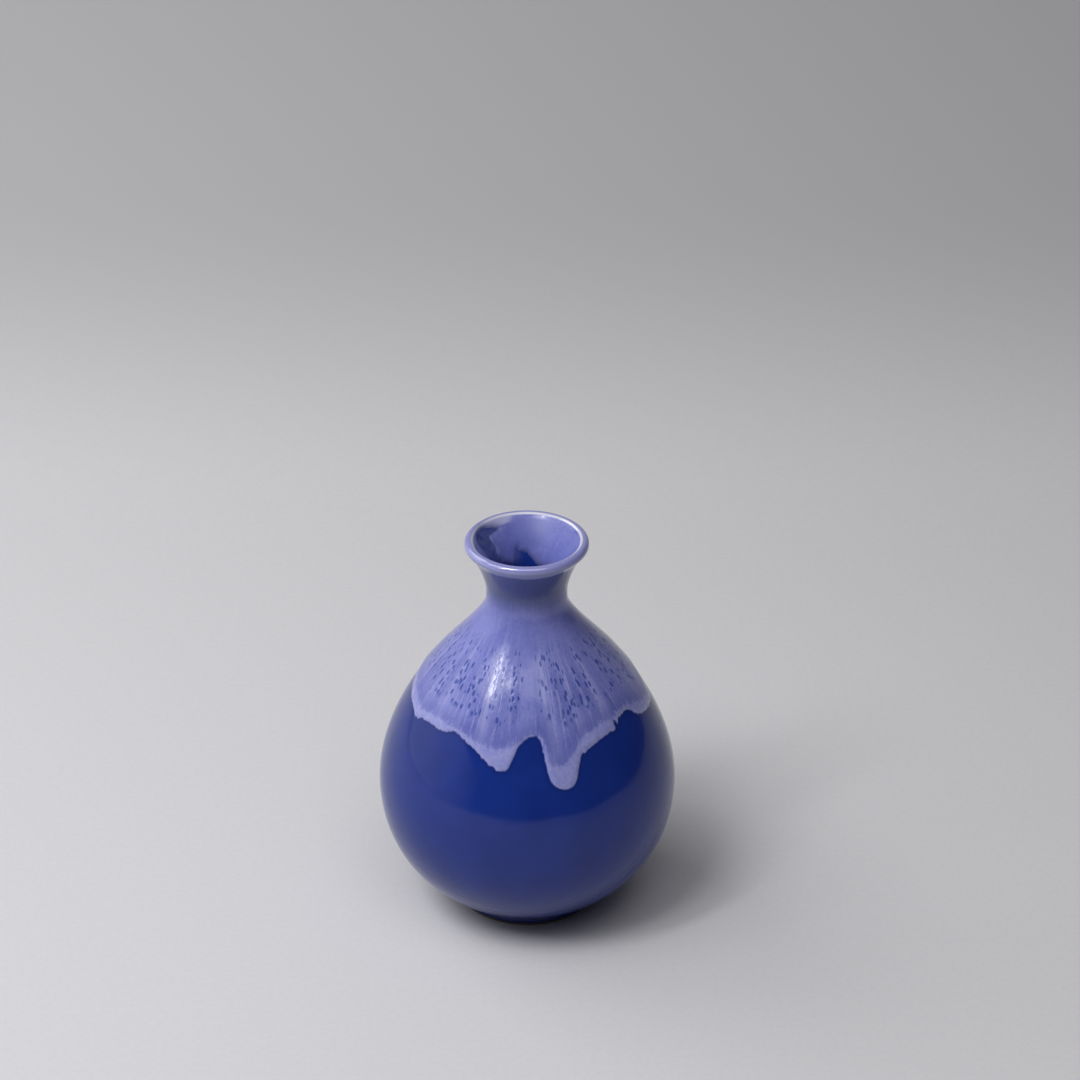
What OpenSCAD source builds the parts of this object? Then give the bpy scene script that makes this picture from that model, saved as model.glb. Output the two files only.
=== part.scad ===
// Ceramic bud vase: a thrown clay body with a trimmed foot, a cobalt glaze inside and out,
// and a lavender glaze poured over the mouth and shoulder, which has run down in drips.
// The origin is the centre of the foot, on the surface that the vase stands on. +Z is up and -Y is the front.

/* [Body] */
// Height of the clay body, without its glaze
body_h = 122.6; // [118:0.2:128]
// Diameter of the clay at the belly
belly_d = 89.4; // [85:0.2:94]
// Height of the belly, where the body is widest
belly_z = 41; // [39:0.5:43]
// Thickness of the clay at the belly
belly_wall = 4.2; // [3.5:0.1:5]
// Thickness of the clay at the neck
neck_wall = 2.8; // [2.4:0.1:3.2]

/* [Neck and lip] */
// Outside diameter of the clay at the throat, where the neck is narrowest
throat_d = 22.6; // [21:0.2:24]
// Distance from the top of the lip down to the middle of the throat
throat_drop = 17; // [15:0.5:19]
// Length of the straight stretch at the throat
throat_len = 3; // [2:0.5:5]
// Outside diameter of the clay lip
lip_d = 35.2; // [32:0.2:38]
// Thickness of the clay at its rolled lip
lip_t = 1.6; // [1.4:0.1:2]

/* [Foot] */
// Outside diameter of the foot ring
foot_d = 44.4; // [43:0.2:46]
// Height of the foot ring
foot_h = 4; // [3.5:0.1:5]
// Width of the foot ring, on which the vase stands
foot_rim = 4.5; // [4:0.1:6]
// Depth of the recess inside the foot ring
recess_h = 3; // [2.5:0.1:3.2]

/* [Glaze] */
// Thickness of the cobalt glaze, inside and out
cobalt_t = 0.3; // [0.2:0.05:0.4]
// Thickness of the lavender glaze over the cobalt
lavender_t = 0.4; // [0.3:0.05:0.5]
// Height of bare clay between the floor and the lower edge of the cobalt glaze
dry_line = 1.2; // [1:0.1:2]

/* [Hidden] */
$fn = 96;

// Size of the slope between the foot ring and the belly, as [radius, height].
foot_fillet = [0.9, 0.6];

// Places on the outside of the clay, as [radius, height].
throat_z = body_h - throat_drop;
foot_wall = [[foot_d / 2, dry_line], [foot_d / 2, foot_h]];
foot_top = [foot_d / 2 + foot_fillet[0], foot_h + foot_fillet[1]];
belly = [belly_d / 2, belly_z];
shoulder = [0.307 * belly_d, 0.666 * body_h];
throat_low = [throat_d / 2, throat_z - throat_len / 2];
throat_high = [throat_d / 2, throat_z + throat_len / 2];
lip_centre = [lip_d / 2 - lip_t / 2, body_h - lip_t / 2];

// Directions of the outline, in degrees above the horizontal.
undercut_angle = 25;
shoulder_angle = 128;
lip_angle = 41;

// How far each curve of the outline runs on in its direction at an end, before it bends away.
foot_reach = 9;
belly_reach_down = 21;
belly_reach_up = 18;
shoulder_reach_down = 7;
shoulder_reach_up = 7.5;
throat_reach_down = 5.5;
throat_reach_up = 3;
lip_reach_outside = 4;
lip_reach_inside = 8;
bore_reach = 5;

// Places on the inside of the clay.
bore_r = throat_d / 2 - neck_wall;
bore_high = [bore_r, throat_high[1]];
recess_r = foot_d / 2 - foot_rim;

// Edges that are broken round the foot ring.
foot_bevel = 0.5;
recess_bevel = 0.8;

// The lavender glaze starts well below its drips, and is cut back to its lower edge. Each ring that cuts it
// back is [inner radius, outer radius at its foot], and the one in the mouth widens by a share of its height.
drip_reach = 54;
drip_cut = [20, 60];
drip_cut_below = 4;
mouth_cut = [2, 9.9];
mouth_cut_below = 0.1;
mouth_cut_spread = 0.43;

// Lower edge of the lavender glaze round the outside, as [angle, height]. Angle 0 is the front, and 90 is +X.
drip_line = [
    [-90, 72.6], [-80, 72.3], [-73, 71.2], [-66, 70.2], [-60, 71.6], [-48, 71.7], [-36, 73],
    [-27, 71], [-19, 68.4], [-14, 66.4], [-10, 66.4], [-7, 68.6], [-4, 72.6], [0, 74.6], [5, 75.4],
    [8, 73.8], [9.5, 69], [11, 64.4], [14, 61.6], [17, 61], [20, 61.8], [22.5, 65], [27, 69],
    [34, 70.6], [46, 71.4], [54, 74], [62, 73.6], [69, 70.6], [79, 69.6], [89, 68], [97, 70.5],
    [106, 74], [114, 72], [120, 66.5], [124, 64.6], [128, 66.8], [133, 73], [144, 75], [156, 71.5],
    [164, 67], [168, 62], [172, 58.6], [176, 58.8], [180, 63], [185, 71], [194, 74.4], [206, 73.4],
    [217, 70.5], [225, 68], [231, 69.5], [240, 74], [252, 75], [262, 73.4]
];

// Lower edge of the lavender glaze inside the mouth, in the same form.
mouth_line = [
    [-180, 113.4], [-173, 113.6], [-167, 114], [-163, 115], [-160, 114], [-157, 111.4], [-153, 110.3],
    [-145, 110.6], [-136, 111.4], [-129, 112.6], [-124, 114], [-121, 117], [-118, 120.5], [-111, 121.3],
    [-102, 121], [-92, 119.6], [-84, 116], [-76, 112.6], [-66, 110.8], [-50, 110], [-25, 109.4],
    [0, 109.8], [25, 109.2], [50, 109.7], [75, 109.2], [100, 109.8], [125, 109.4], [150, 109.6],
    [160, 110], [166, 111], [172, 112], [177, 112.8]
];

// Point at t, from 0 to 1, along a cubic curve from a to d with the handles b and c.
function bezier(a, b, c, d, t) =
    pow(1 - t, 3) * a + 3 * pow(1 - t, 2) * t * b + 3 * (1 - t) * t * t * c + pow(t, 3) * d;

// Points along that curve in n steps, without its first point.
function curve(a, b, c, d, n) = [for (i = [1 : n]) bezier(a, b, c, d, i / n)];

// The unit vector that points at an angle above the horizontal.
function along(angle) = [cos(angle), sin(angle)];

// A vector straight up.
function up(height) = [0, height];

// The unit vector square to the line from a to b, on its right.
function side(a, b) = let (way = (b - a) / norm(b - a)) [way[1], -way[0]];

// How far point i of a path moves when the path is shifted to its right by 1.
function corner(path, i) =
    let (
        last = len(path) - 1,
        before = side(path[max(i - 1, 0)], path[max(i, 1)]),
        after = side(path[min(i, last - 1)], path[min(i + 1, last)])
    )
    (before + after) / (1 + before * after);

function reverse(list) = [for (i = [len(list) - 1 : -1 : 0]) list[i]];

// The outside of the clay from the top of the foot ring to the straight stretch at the throat.
function belly_and_shoulder() = concat(
    [foot_top],
    curve(foot_top, foot_top + foot_reach * along(undercut_angle), belly - up(belly_reach_down), belly, 12),
    curve(
        belly, belly + up(belly_reach_up),
        shoulder - shoulder_reach_down * along(shoulder_angle), shoulder, 10
    ),
    curve(
        shoulder, shoulder + shoulder_reach_up * along(shoulder_angle),
        throat_low - up(throat_reach_down), throat_low, 10
    ),
    [throat_high]
);

// Half a circle round the lip, from the underside of the flare to its inner face.
function lip() = [for (a = [-90 : 15 : 90]) lip_centre + lip_t / 2 * along(lip_angle + a)];

// The outside of the clay from the foot wall to the lip.
function outside() = concat(
    foot_wall,
    belly_and_shoulder(),
    curve(
        throat_high, throat_high + up(throat_reach_up),
        lip()[0] - lip_reach_outside * along(lip_angle), lip()[0], 8
    )
);

// The clay's thickness at a height, from the belly's to the neck's.
function wall(z) =
    let (t = min(max((z - belly_z) / (throat_low[1] - belly_z), 0), 1))
    belly_wall + (neck_wall - belly_wall) * t;

// The inside of the clay, from the lip down through the throat to the middle of the floor.
function inside() =
    let (
        lip_end = lip()[len(lip()) - 1],
        path = belly_and_shoulder(),
        hollow = [for (i = [0 : len(path) - 2]) path[i] - wall(path[i][1]) * corner(path, i)]
    )
    concat(
        curve(
            lip_end, lip_end - lip_reach_inside * along(lip_angle),
            bore_high + up(bore_reach), bore_high, 8
        ),
        reverse(hollow),
        [[0, hollow[0][1]]]
    );

// The whole surface that takes glaze, from the dry line over the lip to the floor inside.
outline = concat(outside(), [for (i = [1 : len(lip()) - 1]) lip()[i]], inside());
seam = len(outside()) + len(lip()) - 2;

// A ring of glaze on the points of the outline from first to last, t thick, which starts base off the clay.
module coat(first, last, t, base = 0) {
    under = [for (i = [first : last]) outline[i] + base * corner(outline, i)];
    over = [for (i = [first : last]) outline[i] + (base + t) * corner(outline, i)];
    rotate_extrude()
        polygon(concat(under, reverse(over)));
}

// A ring from z_low up to an edge line. Its outer radius is r_out at z_low, and grows by spread a millimetre.
module curtain(edge, r_in, r_out, z_low, spread = 0) {
    n = len(edge);
    corners = [
        for (e = edge, outer = [0, 1], z = [z_low, e[1]])
            let (r = outer * (r_out + spread * (z - z_low)) + (1 - outer) * r_in)
            [r * sin(e[0]), -r * cos(e[0]), z]
    ];
    // Each edge point has four corners: inner low, inner high, outer low and outer high.
    faces = [
        for (i = [0 : n - 1])
            let (a = 4 * i, b = 4 * ((i + 1) % n))
            each [
                [a, a + 2, b + 2, b],
                [a + 2, a + 3, b + 3],
                [a + 2, b + 3, b + 2],
                [a + 1, b + 3, a + 3],
                [a + 1, b + 1, b + 3],
                [a, b, b + 1],
                [a, b + 1, a + 1]
            ]
    ];
    polyhedron(points = corners, faces = faces);
}

module clay_body() {
    recess = [[0, recess_h], [recess_r - recess_bevel, recess_h], [recess_r, recess_h - recess_bevel]];
    foot = [
        [recess_r, foot_bevel], [recess_r + foot_bevel, 0],
        [foot_d / 2 - foot_bevel, 0], [foot_d / 2, foot_bevel]
    ];
    color("#b9ada0")
        rotate_extrude()
            polygon(concat(recess, foot, outline));
}

module cobalt_glaze() {
    color("#1f3a93")
        coat(0, seam, cobalt_t);
}

module liner_glaze() {
    color("#28408f")
        coat(seam, len(outline) - 1, cobalt_t);
}

module lavender_glaze() {
    covered = [
        for (i = [0 : len(outline) - 1])
            if (i <= seam ? outline[i][1] > drip_reach : outline[i][1] > bore_high[1]) i
    ];
    color("#7f82c8")
        difference() {
            coat(covered[0], covered[len(covered) - 1], lavender_t, cobalt_t);
            curtain(drip_line, drip_cut[0], drip_cut[1], drip_reach - drip_cut_below);
            curtain(mouth_line, mouth_cut[0], mouth_cut[1], bore_high[1] - mouth_cut_below, mouth_cut_spread);
        }
}

module foot_recess_glaze() {
    color("#1f3a93")
        translate([0, 0, recess_h - cobalt_t])
            cylinder(h = cobalt_t, r = recess_r - recess_bevel);
}

clay_body();
cobalt_glaze();
liner_glaze();
lavender_glaze();
foot_recess_glaze();
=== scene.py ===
"""Ceramic bud vase: a clay body under cobalt glaze, with a lavender glaze that has run down from the mouth.

Lengths are in millimetres until a mesh or a light is made. Angles are in degrees: 0 is the front, which
faces -Y, and 90 is +X. An arc is a distance along the glazed outline, from the dry line above the foot, over
the lip and down to the middle of the floor inside.
"""

import math
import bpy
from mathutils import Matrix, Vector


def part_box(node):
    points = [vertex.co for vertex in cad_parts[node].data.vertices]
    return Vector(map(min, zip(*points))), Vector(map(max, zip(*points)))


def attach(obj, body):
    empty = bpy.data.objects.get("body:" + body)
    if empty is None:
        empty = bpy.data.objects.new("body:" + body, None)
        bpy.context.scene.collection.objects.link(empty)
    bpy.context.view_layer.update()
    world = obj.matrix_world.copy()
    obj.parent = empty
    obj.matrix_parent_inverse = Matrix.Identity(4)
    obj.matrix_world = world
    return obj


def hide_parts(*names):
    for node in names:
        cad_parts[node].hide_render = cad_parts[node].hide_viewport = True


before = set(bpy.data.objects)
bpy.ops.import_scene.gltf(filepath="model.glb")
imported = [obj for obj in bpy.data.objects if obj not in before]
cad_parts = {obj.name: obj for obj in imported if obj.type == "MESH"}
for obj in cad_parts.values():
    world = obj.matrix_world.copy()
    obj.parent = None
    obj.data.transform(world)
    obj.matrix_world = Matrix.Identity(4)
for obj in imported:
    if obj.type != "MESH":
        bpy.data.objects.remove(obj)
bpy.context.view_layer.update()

from types import SimpleNamespace

import bpy
import numpy as np
from mathutils import Vector
from mathutils.kdtree import KDTree

MM = 0.001

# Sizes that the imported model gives.
clay_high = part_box("clay_body")[1] / MM
cobalt_low, cobalt_high = (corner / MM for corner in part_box("cobalt_glaze"))
lavender_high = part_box("lavender_glaze")[1] / MM
recess_low, recess_high = (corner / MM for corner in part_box("foot_recess_glaze"))
BODY_H = clay_high.z
BELLY_R = clay_high.x
DRY_LINE = cobalt_low.z
COBALT_T = cobalt_high.x - clay_high.x
LAVENDER_T = lavender_high.z - cobalt_high.z
RECESS_GLAZE_R = recess_high.x
RECESS_H = recess_high.z

# Sizes of the clay that its box doesn't give, the same as in the CAD source.
BELLY_Z = 41.0
BELLY_WALL = 4.2
NECK_WALL = 2.8
THROAT_R = 11.3
THROAT_DROP = 17.0
THROAT_LEN = 3.0
LIP_R = 17.6
LIP_T = 1.6
FOOT_R = 22.2
FOOT_H = 4.0
FOOT_RIM = 4.5
FOOT_FILLET = (0.9, 0.6)
FOOT_BEVEL = 0.5
RECESS_BEVEL = 0.8

# The shoulder's radius, as a share of the belly's, and its height, as a share of the body's.
SHOULDER_R = 0.614
SHOULDER_Z = 0.666

# Directions of the outline, in degrees above the horizontal.
UNDERCUT_ANGLE = 25
SHOULDER_ANGLE = 128
LIP_ANGLE = 41

# How far the handles of the outline's curves reach from its points, the same as in the CAD source.
FOOT_REACH = 9.0
BELLY_REACH_DOWN = 21.0
BELLY_REACH_UP = 18.0
SHOULDER_REACH_DOWN = 7.0
SHOULDER_REACH_UP = 7.5
THROAT_REACH_DOWN = 5.5
THROAT_REACH_UP = 3.0
LIP_REACH_OUTSIDE = 4.0
LIP_REACH_INSIDE = 8.0
BORE_REACH = 5.0

# How many columns go round a turned piece, and round the lavender glaze.
COLUMNS = 384
LAVENDER_COLUMNS = 480

# The lavender glaze: how far in from its edge it grows to two thirds of its thickness, the bead along the
# edge and how far in that is highest, and how steeply the skin dips below the cobalt outside the edge.
COAT_REACH = 0.9
BEAD_H = 0.14
BEAD_REACH = 1.4
EDGE_DIP = 0.72

# The level of its underside, how near to the edge a vertex is moved onto it, and the height of its ripples.
UNDERSIDE = -0.25
SNAP = 0.24
FLOW_RIPPLE = 0.022

# The radius at which the streaks and specks are laid out, and the clay radius of the pale ring in the mouth.
FLOW_R = 40.0
RING_R = 16.25

# A bake coordinate's share for the outer side of the lavender glaze, and of a coat. The rest is hidden.
LAVENDER_SHARE = 0.95
COAT_SHARE = 0.94

# The distance from the lavender's edge that is given to a surface which has none, and one too far to matter.
NO_EDGE = -99.0
FAR = 1000.0

# Lower edge of the lavender glaze outside, as [angle, height].
DRIP_LINE = [
    [-90, 72.4], [-82, 71.6], [-74, 71.2], [-67, 70], [-62, 71.4], [-54, 72], [-48, 71.8], [-43, 72.2],
    [-38.5, 73.4], [-35, 72.8], [-30, 71.7], [-25, 70.6], [-21, 69], [-16.5, 67.4], [-12, 66.2], [-9, 66.6],
    [-7, 68.2], [-5.4, 71], [-3, 73.6], [0, 74.8], [4, 75.6], [6.6, 74.6], [8, 72.4], [8.4, 68.4], [9, 65.4],
    [10.6, 63.2], [13.6, 61.6], [16.8, 61], [20, 61.6], [22.2, 63], [23.6, 66], [25.6, 68.8], [30, 70],
    [37, 71.2], [43, 71.8], [48, 71.8], [52, 73.4], [58, 74.2], [63, 74], [66, 72], [70, 70.2], [76, 69.2],
    [84, 68.2], [91, 67.6], [97, 70.4], [106, 74], [112.6, 73], [116.6, 69.4], [119.2, 66.2], [122.4, 64.6],
    [126, 65], [129, 68], [132, 72], [136, 74], [144, 75],
    [154, 71.8], [161, 69.4], [165, 66.4], [167.4, 62.4], [170, 59.8], [173.2, 58.6], [176.6, 58.8],
    [179.4, 60.4], [181.6, 64], [184, 69.6], [188, 72.8], [194, 74.4], [206, 73.4], [214, 71.4], [220, 68.6],
    [224.4, 67.4], [228.6, 68.2], [233, 71], [240, 74], [252, 75], [262, 73.4],
]

# Upper edge of the pale border along the drip line, in the same form.
PALE_LINE = [
    [-90, 75], [-76, 74.4], [-66, 73.4], [-56, 74.2], [-48, 74.6], [-41, 74], [-35, 74], [-30, 73.4],
    [-24, 72.6], [-18, 71.8], [-13, 72.2], [-8, 72.6], [-5, 73.6], [0, 75.6], [4, 76.4], [7.4, 75],
    [8.8, 73], [9.8, 68], [14.6, 67.4], [18.6, 68.2], [23.4, 71], [27, 73.2], [33, 74.2], [41, 75],
    [48, 74.8], [55, 75.4], [62, 75.4], [69, 74], [78, 72], [89, 70.6], [97, 73], [106, 75.6], [115, 74.6],
    [121, 72], [127, 72.4], [134, 75.4], [144, 77], [156, 74], [165, 71], [169, 68], [179, 68.4],
    [186, 74], [194, 76.4], [206, 75.6], [217, 73.4], [225, 72.4], [232, 73.4], [240, 76], [252, 77],
    [262, 75.6],
]

# Lower edge of the lavender glaze inside the mouth, in the same form. It folds back round a bare patch.
MOUTH_LINE = [
    [-180, 113.4], [-173, 113.6], [-167, 114], [-163, 115], [-160, 114.1], [-157, 111.3], [-153, 110.3],
    [-144, 110.8], [-136, 111.4], [-131, 112.2], [-123, 113.9], [-120, 115.2], [-124, 117], [-122, 118.2],
    [-121.4, 119.4], [-125, 120], [-134, 120.1], [-144, 120.4], [-141, 120.8], [-134, 121.3], [-128, 121.8],
    [-121, 122.1], [-112, 122], [-102, 121.6], [-92, 120.4], [-84, 117.4], [-76, 113.4], [-66, 110.8],
    [-50, 110], [-25, 109.4], [0, 109.8], [25, 109.2], [50, 109.7], [75, 109.2], [100, 109.8], [125, 109.4],
    [150, 109.6], [160, 110], [166, 111], [172, 112], [177, 112.8], [180, 113.4],
]


def along(angle):
    """The unit vector [radius, height] at an angle above the horizontal."""
    return np.array([math.cos(math.radians(angle)), math.sin(math.radians(angle))])


def up(height):
    return np.array([0.0, height])


def curve(a, b, c, d, steps=80):
    """Points on a cubic curve from a to d with the handles b and c, without its first point."""
    t = np.linspace(0, 1, steps + 1)[1:, None]
    return (1 - t) ** 3 * a + 3 * (1 - t) ** 2 * t * b + 3 * (1 - t) * t ** 2 * c + t ** 3 * d


def lengths(path):
    """The distance along a path to each of its points."""
    return np.r_[0, np.cumsum(np.linalg.norm(np.diff(path, axis=0), axis=1))]


def normals(path):
    """The unit vector to the right of the path at each of its points."""
    way = np.gradient(path, axis=0)
    way /= np.linalg.norm(way, axis=1)[:, None]
    return np.column_stack([way[:, 1], -way[:, 0]])


def resample(path, step):
    """The same path with points a step apart."""
    reach = lengths(path)
    at = np.linspace(0, reach[-1], int(reach[-1] / step) + 1)
    return np.column_stack([np.interp(at, reach, path[:, k]) for k in (0, 1)])


def smooth(path, width, step):
    """The path with its corners rounded over about that width."""
    reach = int(3 * width / step)
    weights = np.exp(-0.5 * (np.arange(-reach, reach + 1) * step / width) ** 2)
    weights /= weights.sum()
    padded = np.pad(path, ((reach, reach), (0, 0)), mode="reflect", reflect_type="odd")
    return np.column_stack([np.convolve(padded[:, k], weights, "valid") for k in (0, 1)])


def clay_outline():
    """The clay's outline along an arc, with the number of the point where the lip ends inside."""
    belly = np.array([BELLY_R, BELLY_Z])
    foot_top = np.array([FOOT_R + FOOT_FILLET[0], FOOT_H + FOOT_FILLET[1]])
    shoulder = np.array([SHOULDER_R * BELLY_R, SHOULDER_Z * BODY_H])
    throat_z = BODY_H - THROAT_DROP
    throat_low = np.array([THROAT_R, throat_z - THROAT_LEN / 2])
    throat_high = np.array([THROAT_R, throat_z + THROAT_LEN / 2])
    bore_high = np.array([THROAT_R - NECK_WALL, throat_high[1]])
    lip_centre = np.array([LIP_R - LIP_T / 2, BODY_H - LIP_T / 2])
    lip = np.array([lip_centre + LIP_T / 2 * along(LIP_ANGLE + a) for a in range(-90, 91, 5)])
    foot = [[FOOT_R, DRY_LINE], [FOOT_R, FOOT_H], foot_top]
    undercut, inward, flaring = along(UNDERCUT_ANGLE), along(SHOULDER_ANGLE), along(LIP_ANGLE)
    body = np.vstack([
        [foot_top],
        curve(foot_top, foot_top + FOOT_REACH * undercut, belly - up(BELLY_REACH_DOWN), belly),
        curve(belly, belly + up(BELLY_REACH_UP), shoulder - SHOULDER_REACH_DOWN * inward, shoulder),
        curve(shoulder, shoulder + SHOULDER_REACH_UP * inward,
              throat_low - up(THROAT_REACH_DOWN), throat_low),
        [throat_high],
    ])
    flare = curve(throat_high, throat_high + up(THROAT_REACH_UP),
                  lip[0] - LIP_REACH_OUTSIDE * flaring, lip[0])
    outside = np.vstack([foot, body[1:], flare])
    thickness = np.interp(body[:, 1], [BELLY_Z, throat_low[1]], [BELLY_WALL, NECK_WALL])
    hollow = (body - thickness[:, None] * normals(body))[:-1]
    inside = np.vstack([
        curve(lip[-1], lip[-1] - LIP_REACH_INSIDE * flaring, bore_high + up(BORE_REACH), bore_high),
        hollow[::-1],
        [[0, hollow[0][1]]],
    ])
    return np.vstack([outside, lip[1:], inside]), len(outside) + len(lip) - 2


# The spacing of the outline's points, and how far its corners are rounded over.
STEP = 0.1
ROUNDING = 0.2

CLAY, seam_point = clay_outline()
SEAM_SHARE = lengths(CLAY)[seam_point] / lengths(CLAY)[-1]
CLAY = smooth(resample(CLAY, STEP), ROUNDING, STEP)
CLAY[-1, 0] = 0
SKIN_NORMAL = normals(CLAY)
SKIN = CLAY + COBALT_T * SKIN_NORMAL
SKIN[-1, 0] = 0
ARC = lengths(SKIN)
TOP = int(np.argmax(SKIN[:, 1]))
SEAM = ARC[int(SEAM_SHARE * (len(ARC) - 1))]
FLOOR_ARC = ARC[-1]

# How far past the lip's crest the ring is looked for.
RING_SEARCH = 4
RING_ARC = ARC[TOP + int(np.argmin(np.abs(SKIN[TOP:TOP + int(RING_SEARCH / STEP), 0] - RING_R)))]


def skin(arc, lift=0.0):
    """Points [radius, height] at these arcs, lifted off the glazed outline."""
    base = np.column_stack([np.interp(arc, ARC, SKIN[:, k]) for k in (0, 1)])
    out = np.column_stack([np.interp(arc, ARC, SKIN_NORMAL[:, k]) for k in (0, 1)])
    out /= np.linalg.norm(out, axis=1)[:, None]
    points = base + np.reshape(lift * np.ones(len(out)), (-1, 1)) * out
    points[:, 0] = np.maximum(points[:, 0], 0)
    return points


def outer_arc(z):
    """The arc at a height on the outside."""
    return np.interp(z, np.maximum.accumulate(SKIN[:TOP, 1]), ARC[:TOP])


def inner_arc(z):
    """The arc at a height inside the mouth."""
    return np.interp(-np.asarray(z, float), -SKIN[TOP:, 1], ARC[TOP:])


def place(points, angle):
    """Points [radius, height] turned to an angle, as [x, y, z]."""
    a = np.radians(angle)
    return np.column_stack([points[:, 0] * np.sin(a), -points[:, 0] * np.cos(a), points[:, 1]])


def ripple(angle, low, high, seed):
    """A wavy number, about -1 to 1, that closes round the turn, with low to high waves in it."""
    random = np.random.default_rng(seed)
    waves = np.arange(low, high)
    phases = random.uniform(0, 2 * math.pi, len(waves))
    sizes = random.uniform(0.3, 1, len(waves)) / np.sqrt(waves)
    total = np.sin(np.radians(angle)[..., None] * waves + phases) @ sizes
    return total / (2 * np.sqrt((sizes ** 2).sum() / 2))


# Degrees over which the corners of a line of points are softened, and how far out that is reckoned.
CORNER_SOFTNESS = 0.8
CORNER_REACH = 2.4


def dense(line, step=0.2):
    """A closed line of [angle, value] points as many points, with its corners softened."""
    line = np.array(line, float)
    angle = np.arange(-180, 180, step)
    value = np.interp(angle, line[:, 0], line[:, 1], period=360)
    reach = int(CORNER_REACH / step)
    weights = np.exp(-0.5 * (np.arange(-reach, reach + 1) * step / CORNER_SOFTNESS) ** 2)
    value = np.convolve(np.pad(value, reach, mode="wrap"), weights / weights.sum(), "valid")
    return angle, value


class Border:
    """A line on the glazed outline, to which distances are measured."""

    def __init__(self, angle, arc):
        self.angle = angle
        self.arc = arc
        points = place(skin(arc), angle)
        self.tree = KDTree(len(points))
        for i, point in enumerate(points):
            self.tree.insert(point, i)
        self.tree.balance()

    def nearest(self, points):
        """The distance from each point to the line, and the number of the line's point that is nearest."""
        found = [self.tree.find(point) for point in points]
        return np.array([f[2] for f in found]), np.array([f[1] for f in found])

    def above(self, angle, arc):
        """True where a place is further along the arc than the line."""
        return arc > np.interp(angle, self.angle, self.arc, period=360)


# The height of the drip line's ragged waves, and the slope, in millimetres a degree, that only the side of a
# drip has.
RAGGED_H = 0.9
STEEP = 1.2


def drip_border():
    """The lower edge outside, ragged where it slopes and smooth round the ends of the drips."""
    angle, z = dense(DRIP_LINE)
    slope = np.abs(np.gradient(z, angle))
    ragged = 0.3 + 0.5 * np.clip(slope / 0.5, 0, 1)
    ragged[slope > STEEP] = 0.25
    ragged *= np.interp(z, [62, 71], [0.3, 1])
    ragged *= np.clip(0.65 + 0.7 * ripple(angle, 5, 25, seed=6), 0.2, 1.2)
    z = z + RAGGED_H * ragged * ripple(angle, 60, 190, seed=5)
    return Border(angle, outer_arc(z))


def pale_border():
    angle, z = dense(PALE_LINE)
    return Border(angle, outer_arc(z))


def mouth_border():
    """The lower edge inside the mouth. It isn't single-valued, so it is kept in its own order."""
    line = np.array(MOUTH_LINE, float)
    line[:, 1] = inner_arc(line[:, 1])
    mm_per_degree = [0.22, 1]
    step = 0.12
    path = smooth(resample(line * mm_per_degree, step), 0.25, step) / mm_per_degree
    path[:, 1] += 0.12 * ripple(path[:, 0], 20, 90, seed=8)
    return Border(path[:, 0], path[:, 1])


def bare_in_mouth(angle, arc, border):
    """True where a place is below the mouth's edge line, counted by how often a way up crosses the line."""
    x = np.r_[border.angle[-1] - 360, border.angle, border.angle[0] + 360]
    y = np.r_[border.arc[-1], border.arc, border.arc[0]]
    crossings = np.zeros(angle.shape, int)
    for x0, y0, x1, y1 in zip(x[:-1], y[:-1], x[1:], y[1:]):
        if x0 == x1:
            continue
        hit = (angle >= min(x0, x1)) & (angle < max(x0, x1))
        level = y0 + (angle - x0) * (y1 - y0) / (x1 - x0)
        crossings += hit & (level < arc)
    return crossings % 2 == 1


def spaced(*stops):
    """Arcs from the first stop to the last. Each stop is (arc, spacing up to the next stop)."""
    rows = [np.linspace(a, b, max(2, int(round((b - a) / gap)) + 1))[:-1]
            for (a, gap), (b, _) in zip(stops[:-1], stops[1:])]
    return np.r_[np.concatenate(rows), stops[-1][0]]


def make_object(name, vertices, faces, uvs, material):
    """A smooth mesh object. The bake layer has one pair of numbers for each corner of each face."""
    mesh = bpy.data.meshes.new(name)
    mesh.from_pydata((vertices * MM).tolist(), [], faces)
    layer = mesh.uv_layers.new(name="OFBake")
    layer.data.foreach_set("uv", np.array(uvs, np.float32).ravel())
    mesh.materials.append(material)
    mesh.shade_smooth()
    obj = bpy.data.objects.new(name, mesh)
    bpy.context.scene.collection.objects.link(obj)
    return obj


def set_attribute(obj, name, values):
    """A number, or three numbers, for each vertex."""
    values = np.asarray(values, np.float32)
    kind, key = ("FLOAT_VECTOR", "vector") if values.ndim == 2 else ("FLOAT", "value")
    obj.data.attributes.new(name, kind, "POINT").data.foreach_set(key, values.ravel())


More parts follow.
